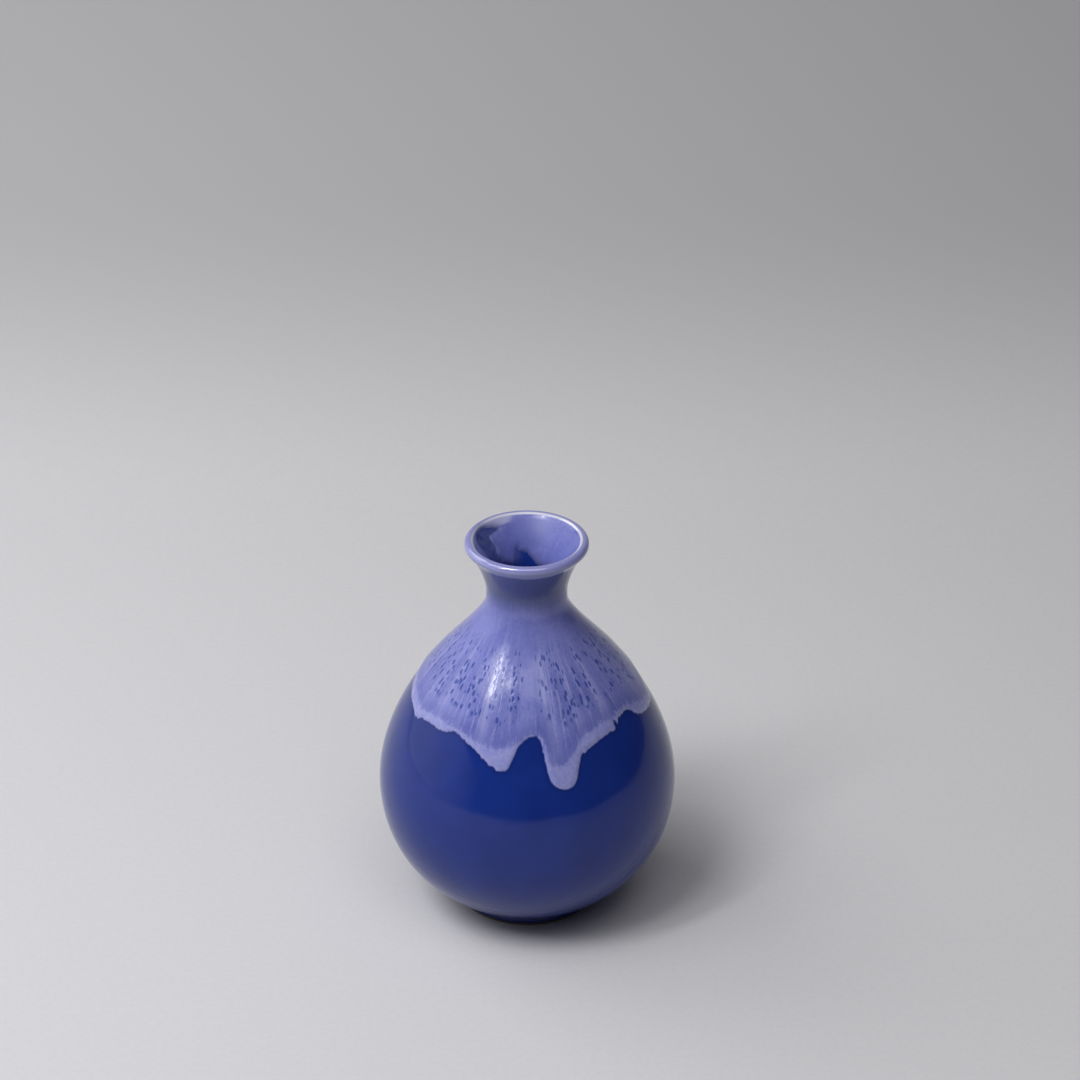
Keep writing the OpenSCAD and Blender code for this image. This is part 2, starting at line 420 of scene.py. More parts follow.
def lathe(name, loop, material, hidden_from=None):
    """A closed loop of [radius, height] turned round the axis. Points on the axis become single vertices.

    Rows from hidden_from on take little of the bake layer. It returns the object, and the angle and the row
    of each vertex.
    """
    rows = len(loop)
    angle = np.arange(COLUMNS) * 360 / COLUMNS
    vertices, index, angles, row_of = [], [], [], []
    for i, (r, z) in enumerate(loop):
        count = 1 if r < 1e-6 else COLUMNS
        index.append(np.arange(count) + len(angles))
        a = angle[:count]
        vertices.append(place(np.column_stack([np.full(count, r), np.full(count, z)]), a))
        angles.extend(a)
        row_of.extend([i] * count)
    share = np.r_[lengths(loop), lengths(loop)[-1] + np.linalg.norm(loop[-1] - loop[0])]
    if hidden_from is None:
        share = share / share[-1]
    else:
        share = np.interp(share, [0, share[hidden_from], share[-1]], [0, COAT_SHARE, 1])
    faces, uvs = [], []
    for i in range(rows):
        low, high = index[i], index[(i + 1) % rows]
        v0, v1 = share[i], share[i + 1]
        if len(low) == 1 and len(high) == 1:
            continue
        for j in range(COLUMNS):
            k = (j + 1) % COLUMNS
            u0, u1 = j / COLUMNS, (j + 1) / COLUMNS
            if len(low) == 1:
                faces.append((low[0], high[k], high[j]))
                uvs += [(u0, v0), (u1, v1), (u0, v1)]
            elif len(high) == 1:
                faces.append((low[j], low[k], high[0]))
                uvs += [(u0, v0), (u1, v0), (u0, v1)]
            else:
                faces.append((low[j], low[k], high[k], high[j]))
                uvs += [(u0, v0), (u1, v0), (u1, v1), (u0, v1)]
    obj = make_object(name, np.vstack(vertices), faces, uvs, material)
    return obj, np.array(angles), np.array(row_of)


def signed_edge(points, angle, arc):
    """How far points are from the lavender glaze's edge, above 0 where the glaze covers them.

    It returns that, the angle and the arc of the nearest point of the edge, and the same distance from the
    edge inside the mouth alone.
    """
    drip_far, drip_at = DRIP.nearest(points)
    mouth_far, mouth_at = MOUTH.nearest(points)
    drip = np.where(DRIP.above(angle, arc), drip_far, -drip_far)
    mouth = np.where(bare_in_mouth(angle, arc, MOUTH), -mouth_far, mouth_far)
    mouth[arc < ARC[TOP]] = FAR
    use_drip = drip < mouth
    edge = np.where(use_drip, drip, mouth)
    near_angle = np.where(use_drip, DRIP.angle[drip_at], MOUTH.angle[mouth_at])
    near_arc = np.where(use_drip, DRIP.arc[drip_at], MOUTH.arc[mouth_at])
    return edge, near_angle, near_arc, mouth


def lavender_lift(edge):
    """The height of the lavender glaze at a distance from its edge: a low bead, then an even coat."""
    inside = np.maximum(edge, 0)
    coat = LAVENDER_T * (1 - np.exp(-inside / COAT_REACH))
    bead = BEAD_H * (inside / BEAD_REACH) * np.exp(1 - inside / BEAD_REACH)
    return np.where(edge > 0, coat + bead, EDGE_DIP * edge)


def lavender_uvs(rows, kept):
    """The bake coordinates of the kept cells, for the upper side and for the underside."""
    w = 1 / LAVENDER_COLUMNS
    across = np.arange(LAVENDER_COLUMNS) / LAVENDER_COLUMNS
    u = np.broadcast_to(across, (len(rows) - 1, LAVENDER_COLUMNS)).ravel()[kept]
    share = LAVENDER_SHARE * (rows - rows[0]) / (rows[-1] - rows[0])
    v0 = np.repeat(share[:-1], LAVENDER_COLUMNS)[kept]
    v1 = np.repeat(share[1:], LAVENDER_COLUMNS)[kept]
    over = np.stack([u, v0, u + w, v0, u + w, v1, u, v1], axis=1).reshape(-1, 4, 2)
    under = over[:, ::-1] * [1, (1 - LAVENDER_SHARE) / LAVENDER_SHARE] + [0, LAVENDER_SHARE]
    return np.concatenate([over, under]).reshape(-1, 2)


def lavender_piece(material):
    """The lavender glaze as a closed skin. Its upper side dips under the cobalt's surface along its edge."""
    rows = spaced(
        (outer_arc(56), 0.55), (outer_arc(78), 1), (outer_arc(86), 1.6), (outer_arc(118), 0.6),
        (outer_arc(121.5), 0.25), (inner_arc(121.5), 0.55), (inner_arc(107.6), 1),
    )
    columns = (np.arange(LAVENDER_COLUMNS) + 0.5) * 360 / LAVENDER_COLUMNS - 180
    angle, arc = (grid.ravel() for grid in np.meshgrid(columns, rows))
    edge, near_angle, near_arc, mouth = signed_edge(place(skin(arc), angle), angle, arc)
    snap = np.abs(edge) < SNAP
    angle = np.where(snap, near_angle, angle)
    arc = np.where(snap, near_arc, arc)
    edge = np.where(snap, 0, edge)

    flow_zone = np.interp(arc, [outer_arc(62), outer_arc(72), outer_arc(84)], [0.3, 1, 0.1])
    flow = ripple(angle, 30, 90, seed=11) * flow_zone
    lift = lavender_lift(edge) + FLOW_RIPPLE * flow * np.clip(edge / 3, 0, 1)
    shared = lift <= UNDERSIDE
    lift = np.maximum(lift, UNDERSIDE)
    over = place(skin(arc, lift), angle)
    under = place(skin(arc, UNDERSIDE), angle)

    shape = (len(rows), LAVENDER_COLUMNS)
    over_index = np.arange(over.shape[0])
    under_index = np.where(shared, over_index, over_index + over.shape[0])
    quad = quads(over_index.reshape(shape))
    kept = ~shared[quad].all(axis=1)
    quad = quad[kept]
    faces = np.vstack([quad, under_index[quad][:, ::-1]])
    used, faces = np.unique(faces, return_inverse=True)
    faces = faces.reshape(-1, 4)
    vertices = np.vstack([over, under])[used]
    obj = make_object("vase_lavender_glaze", vertices, faces.tolist(), lavender_uvs(rows, kept), material)

    pale_far, _ = PALE.nearest(over)
    values = {
        "edge": edge,
        "pale": np.where(PALE.above(angle, arc), pale_far, -pale_far),
        "arc": arc,
        "tint": mouth_tint(angle, arc),
        "broad": broad_streaks(angle, arc),
        "wash": np.exp(-np.maximum(mouth, 0) / 1.3) * 0.9,
        # How strong the pale ring and its painted highlight are round the mouth: weaker at the front and the
        # left.
        "ring": 1 - 0.65 * window(angle, -75, 45, 10) - 0.2 * window(angle, -150, -75, 10),
        "flow": place(np.column_stack([np.full(len(angle), FLOW_R), arc]), angle),
    }
    for name, value in values.items():
        set_attribute(obj, name, np.concatenate([value, value])[used])
    return obj


def quads(index):
    """The four corners of each cell of a grid that closes round its columns."""
    beside = np.roll(index, -1, axis=1)
    return np.stack([index[:-1], beside[:-1], beside[1:], index[1:]], axis=-1).reshape(-1, 4)


def window(value, low, high, soft):
    """1 between low and high, and 0 outside, with soft ends."""
    return 1 / (1 + np.exp(-(value - low) / soft)) / (1 + np.exp((value - high) / soft))


def mouth_tint(angle, arc):
    """How much paler, or darker if below 0, the lavender glaze is inside the mouth."""
    z = np.interp(arc, ARC, SKIN[:, 1])
    inside = window(arc, ARC[TOP] + 0.6, 1e4, 0.15)
    pale_patch = window(angle, -163, -122, 4) * window(z, 120.9, 124, 0.15)
    right = window(angle, 20, 150, 14)
    dark_back = window(angle, -210, -150, 8) + window(angle, 150, 210, 8)
    dark_back = dark_back * window(z, 115, 121.8, 0.6)
    return inside * (0.85 * pale_patch + 0.05 * right - 0.34 * dark_back)


# Broad pale streaks down the shoulder, as [angle, half width, strength].
STREAKS = [
    [-24, 2.6, 0.85], [-52, 1.6, 0.5], [-38, 1.1, 0.4], [-9, 1.2, 0.45], [12, 1.4, 0.5], [30, 1.2, 0.5],
    [47, 1.8, 0.45], [72, 2.2, 0.5], [101, 1.6, 0.5], [133, 2.4, 0.6], [158, 1.4, 0.4], [-171, 2.4, 0.6],
    [-146, 1.5, 0.45], [-118, 2.4, 0.55], [-84, 1.6, 0.5],
]


def broad_streaks(angle, arc):
    """How pale the broad streaks make the lavender glaze. They fade towards the neck and wander a little."""
    drift = angle + 0.8 * np.sin(arc / 7)
    total = np.zeros(len(angle))
    for middle, half, strength in STREAKS:
        off = (drift - middle + 180) % 360 - 180
        total = np.maximum(total, strength * np.exp(-(off / half) ** 2))
    return total * window(arc, 0, outer_arc(95), 3)


def mouth_wash(angle, z):
    """How much of a thin milky wash lies over the cobalt in the bare patch inside the mouth."""
    return 0.95 * window(angle, -166, -72, 3.5) * window(z, 111.5, 123, 1.2)


def add(tree, kind, inputs=None, **settings):
    """A new node. An input is a number or a colour, or the output of another node."""
    node = tree.nodes.new(kind)
    for name, value in settings.items():
        setattr(node, name, value)
    for key, value in (inputs or {}).items():
        if isinstance(value, bpy.types.NodeSocket):
            tree.links.new(value, node.inputs[key])
        else:
            node.inputs[key].default_value = value
    return node


def attribute(tree, name, output="Fac"):
    return add(tree, "ShaderNodeAttribute", attribute_name=name).outputs[output]


def maths(tree, operation, a, b=0.0):
    return add(tree, "ShaderNodeMath", {0: a, 1: b}, operation=operation).outputs[0]


def times(tree, a, b):
    return maths(tree, "MULTIPLY", a, b)


def plus(tree, a, b):
    return maths(tree, "ADD", a, b)


def minus(tree, a, b):
    return maths(tree, "SUBTRACT", a, b)


def wander(tree, value, amount):
    """A noise of 0 to 1 as a number from -amount / 2 to amount / 2."""
    return times(tree, minus(tree, value, 0.5), amount)


def ramp(tree, value, low, high, start=0.0, end=1.0):
    """A number that goes smoothly from start to end while value goes from low to high."""
    inputs = {"Value": value, "From Min": low, "From Max": high, "To Min": start, "To Max": end}
    return add(tree, "ShaderNodeMapRange", inputs, interpolation_type="SMOOTHSTEP").outputs[0]


def stretch(tree, vector, scale):
    return add(tree, "ShaderNodeVectorMath", {0: vector, 1: scale}, operation="MULTIPLY").outputs[0]


def noise(tree, vector, scale, detail=2.0, roughness=0.5):
    inputs = {"Vector": vector, "Scale": scale, "Detail": detail, "Roughness": roughness}
    return add(tree, "ShaderNodeTexNoise", inputs).outputs[0]


def mix(tree, share, a, b):
    """Colour a where share is 0, and colour b where it is 1."""
    inputs = {0: share, 6: rgba(a), 7: rgba(b)}
    return add(tree, "ShaderNodeMix", inputs, data_type="RGBA").outputs[2]


def rgba(colour):
    return colour if isinstance(colour, bpy.types.NodeSocket) else (*colour, 1.0)


def new_material(name):
    """An empty material with its shader and output, and coordinates in millimetres."""
    material = bpy.data.materials.new(name)
    material.use_nodes = True
    tree = material.node_tree
    tree.nodes.clear()
    shader = add(tree, "ShaderNodeBsdfPrincipled")
    add(tree, "ShaderNodeOutputMaterial", {"Surface": shader.outputs[0]})
    position = add(tree, "ShaderNodeTexCoord").outputs["Object"]
    mm = stretch(tree, position, (1 / MM, 1 / MM, 1 / MM))
    return material, tree, shader, mm


def set_inputs(tree, shader, inputs):
    """The shader's inputs, by name. A number or a colour is set on the shader's own socket."""
    for key, value in inputs.items():
        if isinstance(value, bpy.types.NodeSocket):
            tree.links.new(value, shader.inputs[key])
        else:
            shader.inputs[key].default_value = value


def bump(tree, height, distance, strength=1.0):
    """A bump whose height of 1 is that many millimetres."""
    inputs = {"Height": height, "Distance": distance * MM, "Strength": strength}
    return add(tree, "ShaderNodeBump", inputs).outputs[0]


COBALT_DEEP = (0.007, 0.024, 0.19)
COBALT = (0.010, 0.033, 0.25)
COBALT_THIN = (0.013, 0.039, 0.28)
# The colour of the painted shade near the foot.
COBALT_FOOT_SHADE = (0.008, 0.016, 0.10)
SLATE = (0.105, 0.125, 0.320)


def cobalt_material():
    """Deep blue glaze: even and glossy, a little darker along the lavender's edge, and with painted shade
    darkening it near the foot.
    """
    material, tree, shader, mm = new_material("cobalt_glaze")
    cloud = noise(tree, mm, 0.07, 3, 0.55)
    grain = noise(tree, mm, 1.6, 3, 0.6)
    colour = mix(tree, ramp(tree, cloud, 0.3, 0.7, 0.25, 0.75), COBALT_DEEP, COBALT_THIN)
    colour = mix(tree, ramp(tree, grain, 0.35, 0.7, 0, 0.35), colour, COBALT)
    fringe = ramp(tree, attribute(tree, "edge"), -1.6, 0, 0, 0.7)
    colour = mix(tree, fringe, colour, COBALT_DEEP)
    height_up = add(tree, "ShaderNodeSeparateXYZ", {0: mm}).outputs["Z"]
    # Painted shade: over its lowest 34 mm the glaze darkens towards the foot, where the belly curves in over
    # the floor.
    colour = mix(tree, ramp(tree, height_up, 34, 6, 0, 0.6), colour, COBALT_FOOT_SHADE)
    patches = ramp(tree, noise(tree, mm, 0.45, 4, 0.6), 0.3, 0.6, 0.4, 1)
    colour = mix(tree, times(tree, attribute(tree, "wash"), patches), colour, SLATE)
    set_inputs(tree, shader, {
        "Base Color": colour,
        "Roughness": ramp(tree, grain, 0.3, 0.7, 0.06, 0.11),
        "IOR": 1.42,
        "Normal": bump(tree, noise(tree, mm, 0.11, 2, 0.4), 0.12),
    })
    return material


LAVENDER_DARK = (0.115, 0.135, 0.46)
LAVENDER = (0.185, 0.205, 0.58)
LAVENDER_LIGHT = (0.28, 0.30, 0.69)
PALE_BORDER = (0.35, 0.365, 0.72)
SPECK = (0.035, 0.07, 0.36)
LIP = (0.34, 0.35, 0.72)
UNDER_LIP = (0.34, 0.36, 0.55)
MILK = (0.50, 0.50, 0.74)
NECK = (0.050, 0.070, 0.22)
# Near white: the pale ring where the glaze breaks thin, brightened with a painted highlight.
PALE_RING_AND_GLEAM = (0.84, 0.83, 0.91)


def shoulder_streaks(tree, on, zone):
    """How much of a fine pale streak there is: the ridges of a noise that is long down the flow."""
    wave = noise(tree, stretch(tree, on.flow, (1, 1, 0.055)), 0.22, 2, 0.5)
    ridge = maths(tree, "ABSOLUTE", minus(tree, wave, 0.5))
    streak = times(tree, ramp(tree, ridge, 0.032, 0.0), zone)
    return times(tree, streak, ramp(tree, on.grain, 0.3, 0.6, 0.3, 1))


def shoulder_specks(tree, on, zone):
    """How much of a blue speck there is: uneven spots, longer down the flow, in loose rows."""
    spots = add(tree, "ShaderNodeTexVoronoi", {"Vector": stretch(tree, on.flow, (1, 1, 0.65)), "Scale": 0.54})
    rows = ramp(tree, noise(tree, stretch(tree, on.flow, (1, 1, 0.12)), 0.21, 1), 0.36, 0.46)
    blots = plus(tree, spots.outputs["Distance"], wander(tree, noise(tree, on.mm, 0.5, 2), 0.55))
    return times(tree, times(tree, ramp(tree, blots, 0.43, 0.24), rows), zone)


def shoulder_colour(tree, on, streak_zone, streak, speck):
    """The glaze on the shoulder, with its streaks and specks, and a violet tinge above the pale border."""
    bands = noise(tree, stretch(tree, on.flow, (1, 1, 0.1)), 0.16, 2)
    band = times(tree, ramp(tree, bands, 0.35, 0.65, 0.1, 0.6), streak_zone)
    upper = times(
        tree, ramp(tree, on.arc, outer_arc(84), outer_arc(92)),
        ramp(tree, on.arc, outer_arc(108), outer_arc(102)))
    broad = times(tree, attribute(tree, "broad"), ramp(tree, on.fibres, 0.3, 0.6, 0.45, 1))
    violet = times(tree, ramp(tree, on.pale, 6, 1.5), ramp(tree, on.pale, -0.3, 0.6))
    colour = mix(tree, ramp(tree, on.clouds, 0.3, 0.7), LAVENDER_DARK, LAVENDER)
    colour = mix(tree, band, colour, LAVENDER_LIGHT)
    colour = mix(tree, ramp(tree, on.fibres, 0.42, 0.75, 0, 0.35), colour, LAVENDER_LIGHT)
    colour = mix(tree, ramp(tree, on.grain, 0.45, 0.75, 0, 0.3), colour, LAVENDER_LIGHT)
    colour = mix(tree, ramp(tree, on.grain, 0.5, 0.3, 0, 0.3), colour, LAVENDER_DARK)
    colour = mix(tree, times(tree, upper, 0.3), colour, LAVENDER_LIGHT)
    colour = mix(tree, broad, colour, PALE_BORDER)
    colour = mix(tree, times(tree, streak, 0.75), colour, PALE_BORDER)
    colour = mix(tree, times(tree, violet, 0.45), colour, LAVENDER_DARK)
    return mix(tree, times(tree, speck, 0.85), colour, SPECK)


def border_colour(tree, on, colour):
    """The pale, mottled border along the drips, with a frayed upper edge, over the colour above it."""
    frayed = plus(tree, on.pale, wander(tree, on.grain, 4.5))
    frayed = plus(tree, frayed, wander(tree, on.fibres, 5.5))
    mottle = ramp(tree, noise(tree, on.mm, 0.7, 3, 0.6), 0.38, 0.62, 0, 0.85)
    border = mix(tree, mottle, PALE_BORDER, LAVENDER_LIGHT)
    return mix(tree, ramp(tree, frayed, 1.6, -1.3, 0, 0.95), colour, border)


def neck_colour(tree, on, colour, lip):
    """The dark neck, with a greyer collar above it, and then the pale lip."""
    ragged = plus(tree, on.arc, wander(tree, on.clouds, 2.0))
    neck = times(
        tree, ramp(tree, ragged, outer_arc(103), outer_arc(111)),
        ramp(tree, ragged, outer_arc(120.2), outer_arc(119)))
    collar = times(
        tree, ramp(tree, ragged, outer_arc(118.8), outer_arc(120.2)),
        ramp(tree, on.arc, outer_arc(122.3), outer_arc(121.5)))
    colour = mix(tree, times(tree, neck, 0.85), colour, NECK)
    colour = mix(tree, times(tree, collar, 0.75), colour, UNDER_LIP)
    return mix(tree, times(tree, lip, 0.8), colour, LIP)


def mouth_colour(tree, on, colour):
    """The inside of the mouth: its pale and dark patches, the pale ring with a painted highlight in it, and
    the wash along its edge.
    """
    mottled = times(tree, attribute(tree, "tint"), ramp(tree, on.clouds, 0.25, 0.6, 0.6, 1.2))
    ring_far = maths(tree, "ABSOLUTE", minus(tree, on.arc, RING_ARC))
    ring = times(tree, ramp(tree, ring_far, 0.46, 0.12, 0, 0.95), attribute(tree, "ring"))
    wash = times(tree, attribute(tree, "wash"), ramp(tree, on.clouds, 0.3, 0.6, 0.6, 1))
    colour = mix(tree, ramp(tree, mottled, 0.05, 0.8, 0, 0.95), colour, MILK)
    colour = mix(tree, ramp(tree, mottled, -0.02, -0.4, 0, 0.9), colour, LAVENDER_DARK)
    # The pale ring at the lip's inner edge: partly the glaze breaking thin, partly a painted highlight.
    colour = mix(tree, ring, colour, PALE_RING_AND_GLEAM)
    return mix(tree, wash, colour, SLATE)


def lavender_material():
    """Milky lavender glaze: streaks and specks along the flow, a pale border, a dark neck and a pale lip."""
    material, tree, shader, mm = new_material("lavender_glaze")
    flow = attribute(tree, "flow", "Vector")
    on = SimpleNamespace(
        mm=mm,
        flow=flow,
        pale=attribute(tree, "pale"),
        arc=attribute(tree, "arc"),
        fibres=noise(tree, stretch(tree, flow, (1, 1, 0.12)), 0.9, 3, 0.6),
        clouds=noise(tree, mm, 0.12, 3, 0.6),
        grain=noise(tree, mm, 1.1, 4, 0.65),
    )
    streak_zone = times(
        tree, ramp(tree, on.arc, outer_arc(99), outer_arc(88)), ramp(tree, on.pale, -0.5, 3))
    speck_zone = times(
        tree, ramp(tree, on.arc, outer_arc(97), outer_arc(92)), ramp(tree, on.pale, 4.5, 7))
    lip = times(
        tree, ramp(tree, on.arc, outer_arc(121.4), outer_arc(122.3)),
        ramp(tree, on.arc, RING_ARC + 0.6, RING_ARC))
    streak = shoulder_streaks(tree, on, streak_zone)
    speck = shoulder_specks(tree, on, speck_zone)

    colour = shoulder_colour(tree, on, streak_zone, streak, speck)
    colour = border_colour(tree, on, colour)
    colour = neck_colour(tree, on, colour, lip)
    colour = mouth_colour(tree, on, colour)
    rim = times(
        tree, ramp(tree, attribute(tree, "edge"), 0.55, 0.0),
        ramp(tree, on.arc, ARC[TOP] + 1, ARC[TOP]))
    colour = mix(tree, rim, colour, COBALT)

    inside = ramp(tree, on.arc, RING_ARC + 0.5, RING_ARC + 2, 0, 0.34)
    height = times(tree, minus(tree, streak, speck), 0.35)
    height = plus(tree, height, noise(tree, mm, 0.16, 2, 0.5))
    set_inputs(tree, shader, {
        "Base Color": colour,
        "Roughness": plus(tree, ramp(tree, on.grain, 0.3, 0.7, 0.07, 0.12), inside),
        "IOR": 1.5,
        "Coat Weight": lip,
        "Coat Roughness": 0.04,
        "Coat IOR": 1.8,
        "Normal": bump(tree, height, 0.05),
    })
    return material


CLAY_DARK = (0.20, 0.145, 0.10)
CLAY_LIGHT = (0.38, 0.30, 0.23)
# The near black of the clay's lowest 0.7 mm, at the bottom of the foot ring.
CLAY_FOOT_EDGE_DARK = (0.035, 0.025, 0.02)


def clay_material():
    """Unglazed buff stoneware: matt and sandy, with darker grog."""
    material, tree, shader, mm = new_material("bare_clay")
    sand = noise(tree, mm, 1.8, 5, 0.7)
    patch = noise(tree, mm, 0.15, 2)
    grog = add(tree, "ShaderNodeTexVoronoi", {"Vector": mm, "Scale": 0.9}).outputs["Distance"]
    colour = mix(tree, ramp(tree, patch, 0.3, 0.7, 0.3, 0.8), CLAY_DARK, CLAY_LIGHT)
    colour = mix(tree, ramp(tree, sand, 0.35, 0.7, 0, 0.5), colour, CLAY_LIGHT)
    colour = mix(tree, ramp(tree, grog, 0.22, 0.1, 0, 0.7), colour, CLAY_DARK)
    height_up = add(tree, "ShaderNodeSeparateXYZ", {0: mm}).outputs["Z"]
    # The clay darkens almost to black over its lowest 0.7 mm, where the foot ring meets the floor.
    colour = mix(tree, ramp(tree, height_up, 0.1, 0.7, 0, 0.9), colour, CLAY_FOOT_EDGE_DARK)
    set_inputs(tree, shader, {
        "Base Color": colour,
        "Roughness": ramp(tree, sand, 0.3, 0.7, 0.75, 0.95),
        "Normal": bump(tree, sand, 0.15),
    })
    return material


# The spacing of the points of the foot's outline, and how far its corners are rounded over.
FOOT_STEP = 0.05
FOOT_ROUNDING = 0.18

# The turning marks under the foot ring: their height, how close they are, and the level they stay below.
MARK_H = 0.035
MARK_RATE = 5.3
MARK_LEVEL = 0.3


def foot_path():
    """The clay from the middle of the recess round the foot ring and up to the dry line, in fine steps."""
    foot_in = FOOT_R - FOOT_RIM
    path = np.array([
        [0, RECESS_H], [foot_in - RECESS_BEVEL - 2, RECESS_H], [foot_in - RECESS_BEVEL, RECESS_H],
        [foot_in, RECESS_H - RECESS_BEVEL], [foot_in, FOOT_BEVEL], [foot_in + FOOT_BEVEL, 0],
        [FOOT_R - FOOT_BEVEL, 0], [FOOT_R, FOOT_BEVEL], [FOOT_R, DRY_LINE],
    ])
    path = smooth(resample(path, FOOT_STEP), FOOT_ROUNDING, FOOT_STEP)
    path[0, 0] = 0
    return path


def clay_piece(material):
    """The clay body, with a rounded foot ring, turning marks under it and a shallow recess."""
    ring = foot_path()
    reach = lengths(ring)
    under = ring[:, 1] < MARK_LEVEL
    marks = MARK_H * np.sin(ring[:, 0] * MARK_RATE + 0.8 * np.sin(ring[:, 0])) * under
    ring[:, 1] += marks - marks.min() * under
    keep = np.interp(spaced((0, 1.2), (reach[-1] * 0.45, 0.22), (reach[-1], 1)), reach, np.arange(len(reach)))
    foot = ring[keep.astype(int)]
    body = skin(spaced((0, 1), (outer_arc(10), 2.5), (outer_arc(112), 1.2), (outer_arc(119), 0.5),
                       (inner_arc(119), 1.2), (inner_arc(105), 3), (FLOOR_ARC, 1)), -COBALT_T)
    body[-1, 0] = 0
    return lathe("vase_clay_body", np.vstack([foot, body[1:]]), material)[0]


def coat_loop(arcs, lift):
    """A coat's upper side along these arcs, and its underside back again, with the row where that starts."""
    over = skin(arcs, lift)
    sparse = np.unique(np.r_[arcs[::3], arcs[-1]])
    below = skin(sparse, -COBALT_T)
    return np.vstack([over, below[::-1]]), len(over)


def half_turn(angle):
    """Angles of 0 to 360 as -180 to 180."""
    return np.where(angle > 180, angle - 360, angle)


# The roll of glaze at the dry line: its height, the arc where it is highest, how far it spreads, and the arc
# up to which the glaze's edge is rounded.
ROLL_H = 0.16
ROLL_ARC = 0.9
ROLL_SPREAD = 0.7
ROLL_EDGE = 0.45


def cobalt_piece(material):
    """The outer cobalt glaze. It is rounded and a little thicker at the dry line above the foot."""
    arcs = spaced((0, 0.12), (1.6, 0.5), (outer_arc(8), 1.4), (outer_arc(52), 0.8), (outer_arc(78), 1.4),
                  (outer_arc(116), 0.6), (SEAM, 1))
    roll = ROLL_H * np.exp(-((arcs - ROLL_ARC) / ROLL_SPREAD) ** 2)
    rounded = COBALT_T * (np.sqrt(1 - np.clip(1 - arcs / ROLL_EDGE, 0, 1) ** 2) - 1)
    loop, hidden = coat_loop(arcs, roll + rounded)
    obj, angle, row = lathe("vase_cobalt_glaze", loop, material, hidden)
    arc_of = np.r_[arcs, np.zeros(len(loop) - len(arcs))][row]
    points = np.array([v.co for v in obj.data.vertices]) / MM
    edge, _, _, _ = signed_edge(points, half_turn(angle), arc_of)
    set_attribute(obj, "edge", np.where(row < len(arcs), edge, NO_EDGE))
    return obj


def liner_piece(material):
    """The cobalt glaze inside, from the lip to the middle of the floor."""
    arcs = spaced((SEAM, 0.6), (inner_arc(105), 1.8), (FLOOR_ARC, 1))
    loop, hidden = coat_loop(arcs, 0.0)
    obj, angle, _ = lathe("vase_liner_glaze", loop, material, hidden)
    z = np.array([v.co.z for v in obj.data.vertices]) / MM
    set_attribute(obj, "edge", np.full(len(z), NO_EDGE))
    set_attribute(obj, "wash", mouth_wash(half_turn(angle), z))
    return obj


def recess_piece(material):
    """A thin disc of cobalt glaze under the foot, with a rounded edge."""
    z_low, z_high = recess_low.z, recess_high.z
    r = RECESS_GLAZE_R
    t = z_high - z_low
    quarter = [[r - t + t * math.sin(a), z_high - t * math.cos(a)] for a in np.linspace(0, math.pi / 2, 7)]
    under = [[x, z_low + 0.06 * (x / r) ** 4] for x in np.arange(0, r - t - 0.6, 1.5)]
    loop = np.array(under + quarter + [[x, z_high] for x in np.arange(r - 1.5, 1, -3)] + [[0, z_high]])
    obj, _, _ = lathe("vase_foot_recess_glaze", loop, material)
    set_attribute(obj, "edge", np.full(len(obj.data.vertices), NO_EDGE))
    return obj


# The paper sweep, in metres: where it starts to bend up, its radius, its turn in degrees, how far it goes
# on up the bend, and its half width and front edge.
SWEEP_START = 0.2
SWEEP_R = 1.05
SWEEP_TURN = 78
SWEEP_LENGTH = 3.5
STAGE_X = 3.0
STAGE_FRONT = -3.5

PAPER_DARK = (0.74, 0.73, 0.755)
PAPER_LIGHT = (0.76, 0.75, 0.775)
# Painted shade on the paper where it bends up behind the vase.
PAPER_BACK_SHADE = (0.57, 0.56, 0.58)
# Painted shade on the paper far out to the sides.
PAPER_SIDE_SHADE = (0.24, 0.24, 0.25)


def sweep_point(distance):
    """A point [y, z] of the paper sweep, at a distance in metres behind the front edge of its bend."""
    bend = SWEEP_R * math.radians(SWEEP_TURN)
    a = min(distance, bend) / SWEEP_R
    y = SWEEP_START + SWEEP_R * math.sin(a)
    z = SWEEP_R * (1 - math.cos(a))
    rest = distance - bend
    if rest > 0:
        y += rest * math.cos(a)
        z += rest * math.sin(a)
    return y, z


def paper_material():
    """Pale matt paper, with painted shade making it a little darker where it bends up and dark grey far out
    to the sides.
    """
    material, tree, shader, mm = new_material("paper")
    fibre = noise(tree, mm, 0.6, 3)
    position = add(tree, "ShaderNodeSeparateXYZ", {0: mm}).outputs
    colour = mix(tree, ramp(tree, fibre, 0.3, 0.7), PAPER_DARK, PAPER_LIGHT)
    # Painted shade: the paper darkens where it bends up, 250 to 470 mm behind.
    colour = mix(tree, ramp(tree, position["Y"], 250, 470), colour, PAPER_BACK_SHADE)
    # Painted shade: the paper turns dark grey 650 to 950 mm out to each side.
    colour = mix(tree, ramp(tree, maths(tree, "ABSOLUTE", position["X"]), 650, 950), colour, PAPER_SIDE_SHADE)
    set_inputs(tree, shader, {
        "Base Color": colour,
        "Roughness": 0.9,
        "Specular IOR Level": 0.2,
    })
    return material


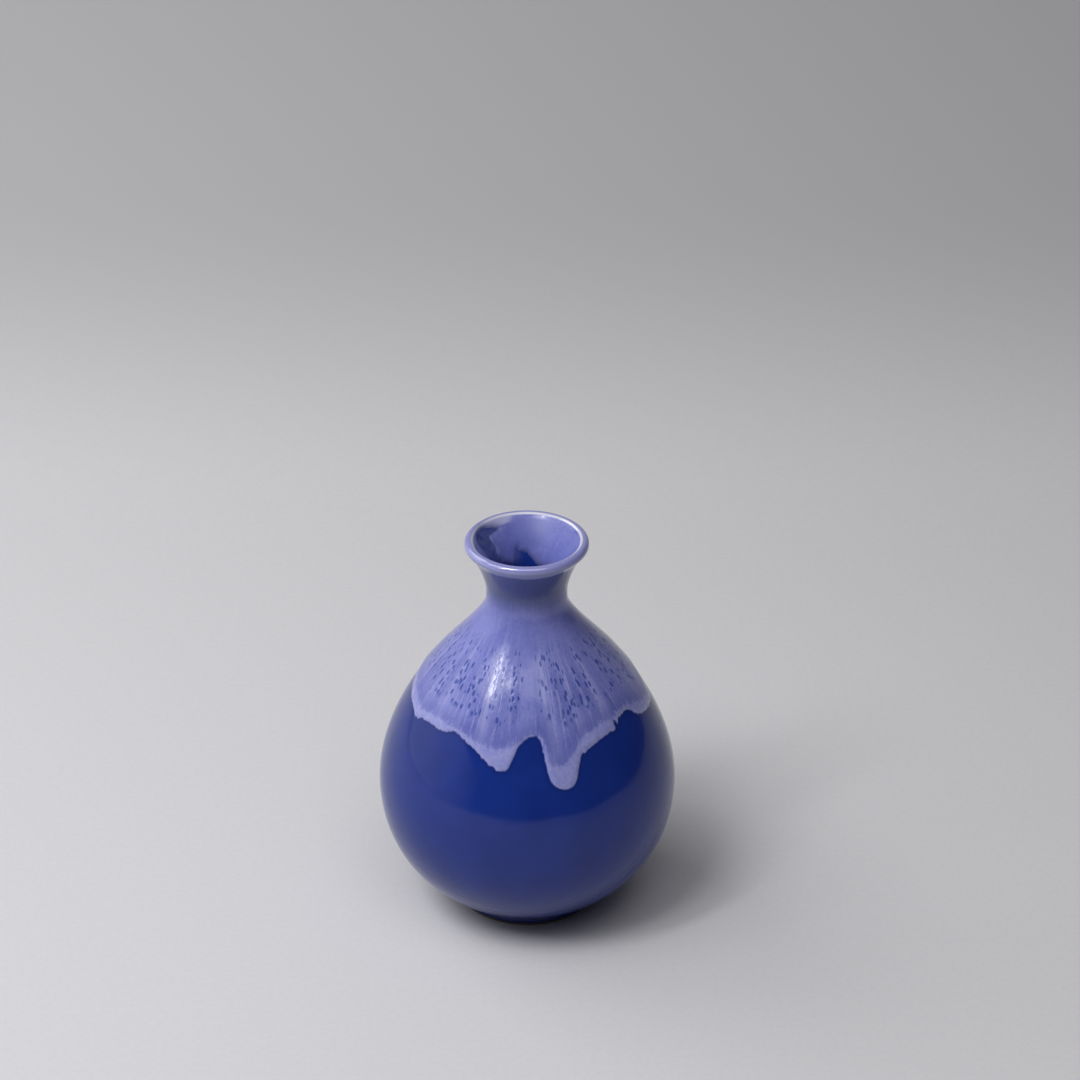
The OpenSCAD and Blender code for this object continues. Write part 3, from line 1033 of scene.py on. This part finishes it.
def stage():
    """A seamless pale paper sweep: flat under the vase, and bending up behind it."""
    rows = [(y, 0.0) for y in np.linspace(STAGE_FRONT, SWEEP_START, 12)]
    rows += [sweep_point(d) for d in np.linspace(0, SWEEP_LENGTH, 90)[1:]]
    xs = np.linspace(-STAGE_X, STAGE_X, 13)
    vertices = [(x, y, z) for y, z in rows for x in xs]
    n = len(xs)
    faces = [(i * n + j, i * n + j + 1, (i + 1) * n + j + 1, (i + 1) * n + j)
             for i in range(len(rows) - 1) for j in range(n - 1)]
    mesh = bpy.data.meshes.new("paper_sweep")
    mesh.from_pydata(vertices, [], faces)
    mesh.shade_smooth()
    mesh.materials.append(paper_material())
    obj = bpy.data.objects.new("paper_sweep", mesh)
    bpy.context.scene.collection.objects.link(obj)


# The height in metres of the point that the lights face.
LIGHT_TARGET_Z = 0.06


def light(name, azimuth, elevation, distance, size, power, spread=180):
    """A rectangular soft light, distances in metres, that faces the middle of the vase.

    A spread below 180 darkens it towards its ends.
    """
    data = bpy.data.lights.new(name, "AREA")
    data.shape = "RECTANGLE"
    data.size, data.size_y = size
    data.energy = power
    data.spread = math.radians(spread)
    obj = bpy.data.objects.new(name, data)
    bpy.context.scene.collection.objects.link(obj)
    a, e = math.radians(azimuth), math.radians(elevation)
    away = Vector((math.sin(a) * math.cos(e), -math.cos(a) * math.cos(e), math.sin(e)))
    obj.location = Vector((0, 0, LIGHT_TARGET_Z)) + distance * away
    obj.rotation_euler = (-away).to_track_quat("-Z", "Y").to_euler()
    obj.visible_camera = False


def lights():
    light("strip", -52, 54, 1.0, (0.08, 0.42), 1.5)
    light("main", -62, 53, 1.0, (0.60, 0.50), 2.1)
    light("second", -34, 58, 1.5, (0.24, 0.50), 2.5)
    light("front", -9, 67, 1.5, (1.50, 0.90), 6.6)
    light("back_left", -118, 43, 0.9, (0.60, 0.45), 1.7)
    light("left_wall", -95, 10, 0.8, (2.40, 0.50), 1.2, 110)
    light("right", 46, 56, 1.5, (0.90, 0.90), 0.4)
    light("back_right", 122, 68, 1.5, (0.90, 0.90), 0.4)
    world = bpy.data.worlds.new("room")
    world.use_nodes = True
    world.node_tree.nodes["Background"].inputs[0].default_value = (0.015, 0.015, 0.017, 1)
    bpy.context.scene.world = world


def camera():
    data = bpy.data.cameras.new("camera")
    data.lens = 100
    data.sensor_width = 36
    data.clip_start = 0.01
    data.clip_end = 20
    obj = bpy.data.objects.new("camera", data)
    obj.location = (0.0039, -0.7631, 0.5521)
    obj.rotation_euler = (math.radians(60.64), 0, 0)
    bpy.context.scene.collection.objects.link(obj)
    bpy.context.scene.camera = obj


DRIP = drip_border()
PALE = pale_border()
MOUTH = mouth_border()

cobalt = cobalt_material()
pieces = [
    (clay_piece(clay_material()), "clay_body", "clay"),
    (cobalt_piece(cobalt), "cobalt_glaze", "cobalt"),
    (liner_piece(cobalt), "liner_glaze", "liner"),
    (lavender_piece(lavender_material()), "lavender_glaze", "lavender"),
    (recess_piece(cobalt), "foot_recess_glaze", "cobalt"),
]
for piece, node, slot in pieces:
    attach(piece, "root")
    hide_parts(node)

stage()
lights()
camera()
bpy.context.scene.view_settings.view_transform = "Standard"
